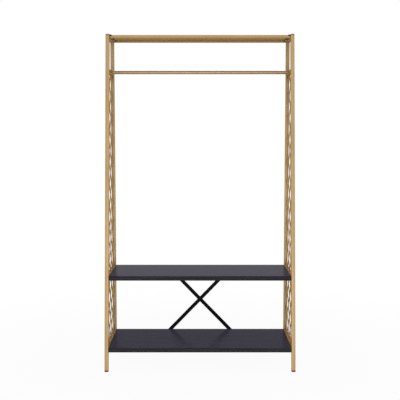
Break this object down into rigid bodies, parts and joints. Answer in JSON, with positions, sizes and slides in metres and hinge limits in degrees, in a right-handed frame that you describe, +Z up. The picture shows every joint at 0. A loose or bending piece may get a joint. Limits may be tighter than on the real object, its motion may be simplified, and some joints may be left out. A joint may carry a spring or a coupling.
{
  "type": "open frame wardrobe",
  "caption": "Open wardrobe with lattice side frames, a hanging rod under a sheet top shelf, and dark boards below joined by a crossed brace.",
  "frame": {"origin": "middle of the footprint, on the floor", "axes": "+X along the width to the right, -Y to the front, +Z up"},
  "size_m": [1.0064, 0.424, 1.77],
  "materials": {
    "gold_steel": "satin gold",
    "gold_fixings": "satin gold",
    "zinc_fixings": "zinc plated",
    "board": "black satin foil",
    "black_steel": "matt black",
    "black_fixings": "black oxide",
    "plastic": "moulded"
  },
  "bodies": {
    "root": {"brace_front_bar": "black_steel", "brace_rear_bar": "black_steel", "brace_rivet": "black_fixings", "brace_screws": "black_fixings", "brace_spacers": "black_fixings", "hanging_rod": "gold_steel", "left_front_cap": "plastic", "left_front_foot": "plastic", "left_front_post": "gold_steel", "left_lower_lattice": "gold_steel", "left_lower_shelf_rail": "gold_steel", "left_rear_cap": "plastic", "left_rear_foot": "plastic", "left_rear_post": "gold_steel", "left_rod_rail": "gold_steel", "left_top_rail": "gold_steel", "left_upper_lattice": "gold_steel", "left_upper_shelf_rail": "gold_steel", "lower_shelf": "board", "lower_shelf_bolts": "gold_fixings", "right_front_cap": "plastic", "right_front_foot": "plastic", "right_front_post": "gold_steel", "right_lower_lattice": "gold_steel", "right_lower_shelf_rail": "gold_steel", "right_rear_cap": "plastic", "right_rear_foot": "plastic", "right_rear_post": "gold_steel", "right_rod_rail": "gold_steel", "right_top_rail": "gold_steel", "right_upper_lattice": "gold_steel", "right_upper_shelf_rail": "gold_steel", "rod_bolts": "gold_fixings", "rod_plugs": "zinc_fixings", "top_shelf": "gold_steel", "top_shelf_bolts": "gold_fixings", "top_shelf_nuts": "zinc_fixings", "upper_shelf": "board", "upper_shelf_bolts": "gold_fixings"}
  },
  "joints": []
}
